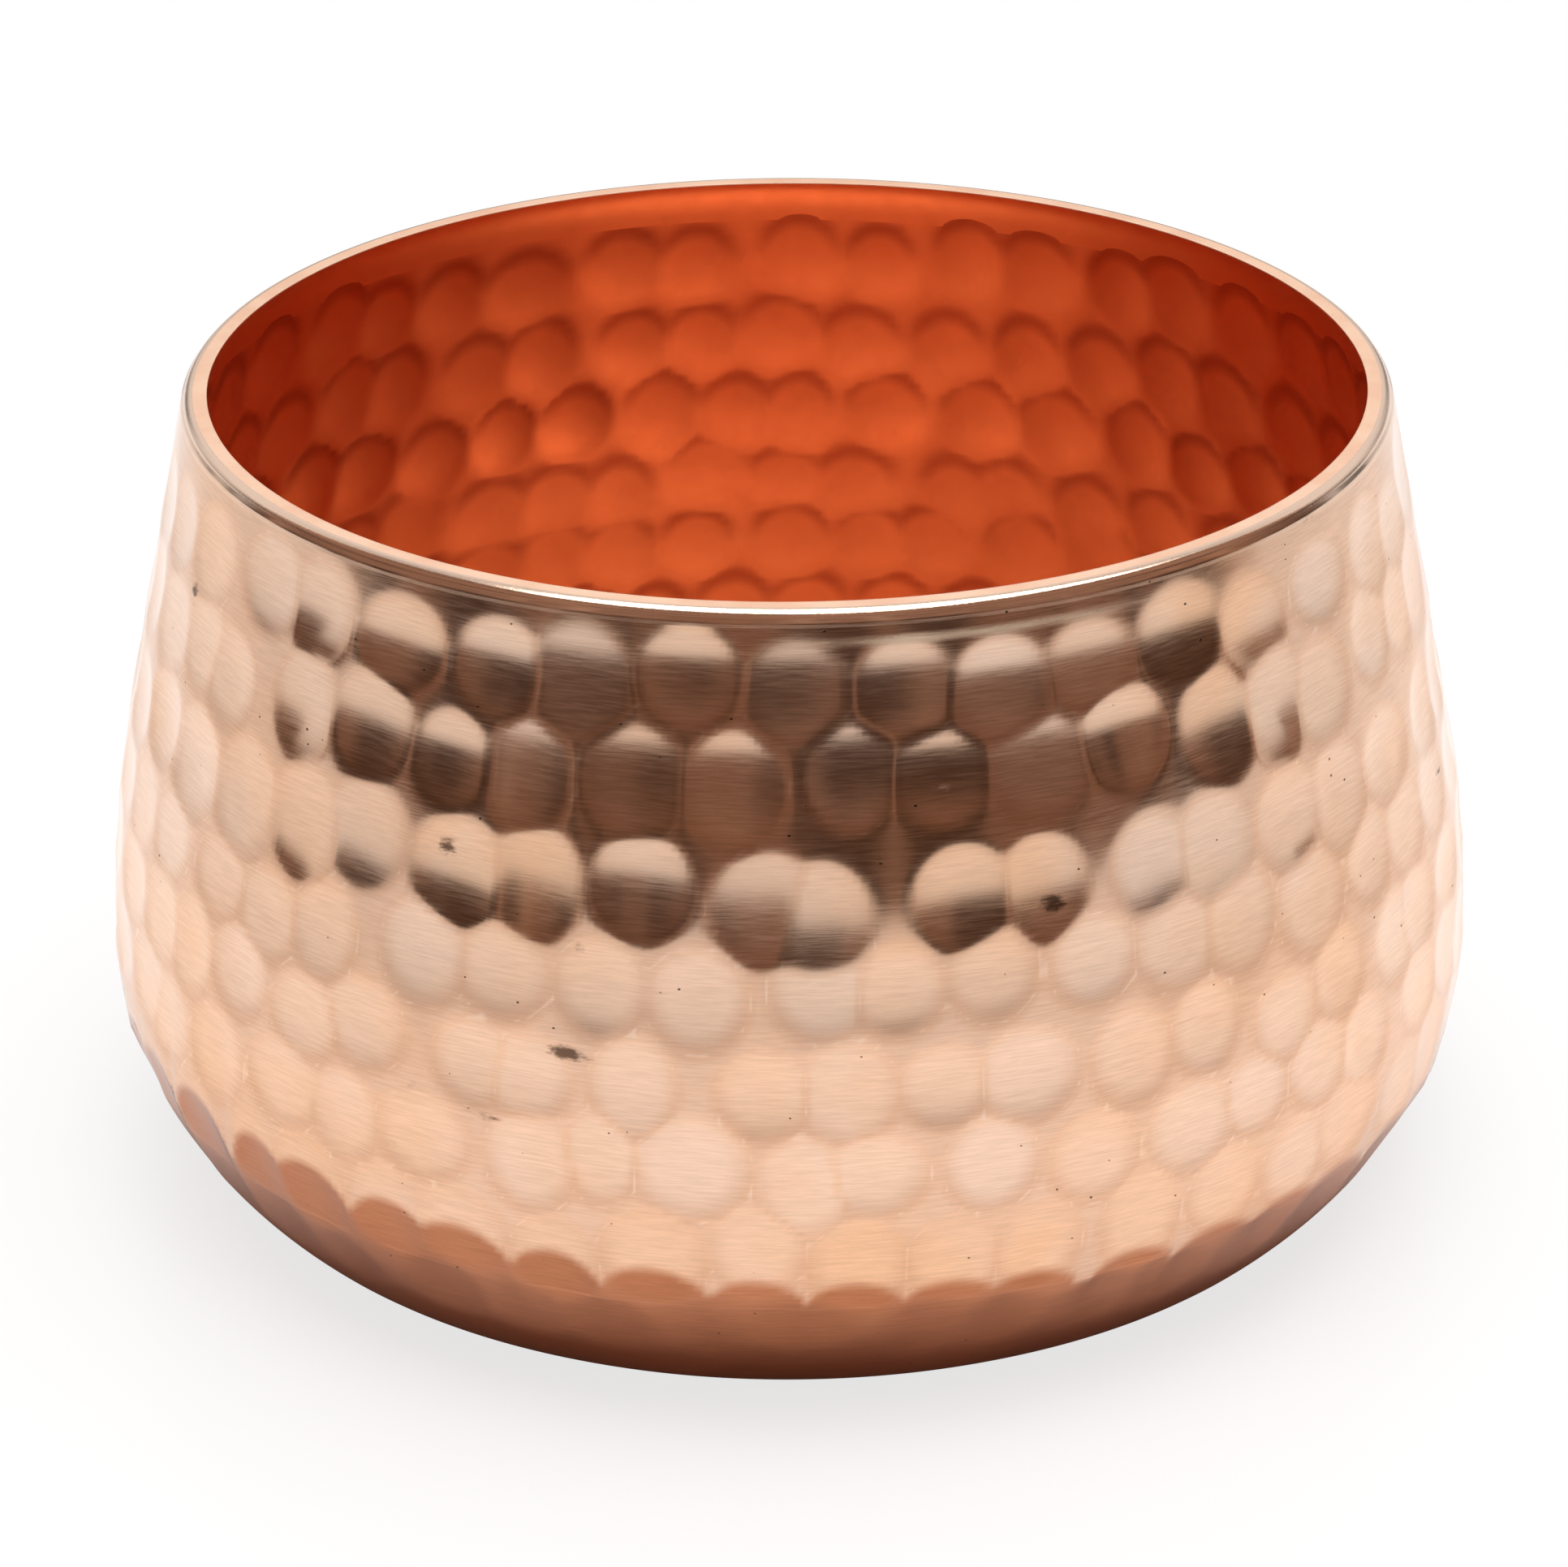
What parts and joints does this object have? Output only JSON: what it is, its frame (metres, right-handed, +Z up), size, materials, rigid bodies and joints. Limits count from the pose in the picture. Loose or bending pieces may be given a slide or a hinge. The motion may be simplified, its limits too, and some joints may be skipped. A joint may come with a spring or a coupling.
{
  "type": "hammered copper bowl",
  "caption": "Round beaten copper bowl, widest low down and leaning in to a flat lip, with a hammered wall on a flat pan base and a plain capping ring at the mouth.",
  "frame": {"origin": "middle of the flat underside, on the surface the bowl stands on", "axes": "+Z up along the bowl's axis of revolution; +X and +Y are arbitrary, since the bowl is round"},
  "size_m": [0.1396, 0.1396, 0.0825],
  "materials": {
    "hammered_copper": "beaten copper, brushed round the bowl outside and left warm and matte inside",
    "base_copper": "satin copper, lightly beaten at its turned-up edge",
    "lip_copper": "sanded flat copper with a polished outer edge",
    "braze": "thin pale braze line, filed flush"
  },
  "bodies": {
    "root": {"base_pan": "base_copper", "base_seam": "braze", "hammered_wall": "hammered_copper", "rim_seam": "braze", "rim_ring": "lip_copper"}
  },
  "joints": []
}
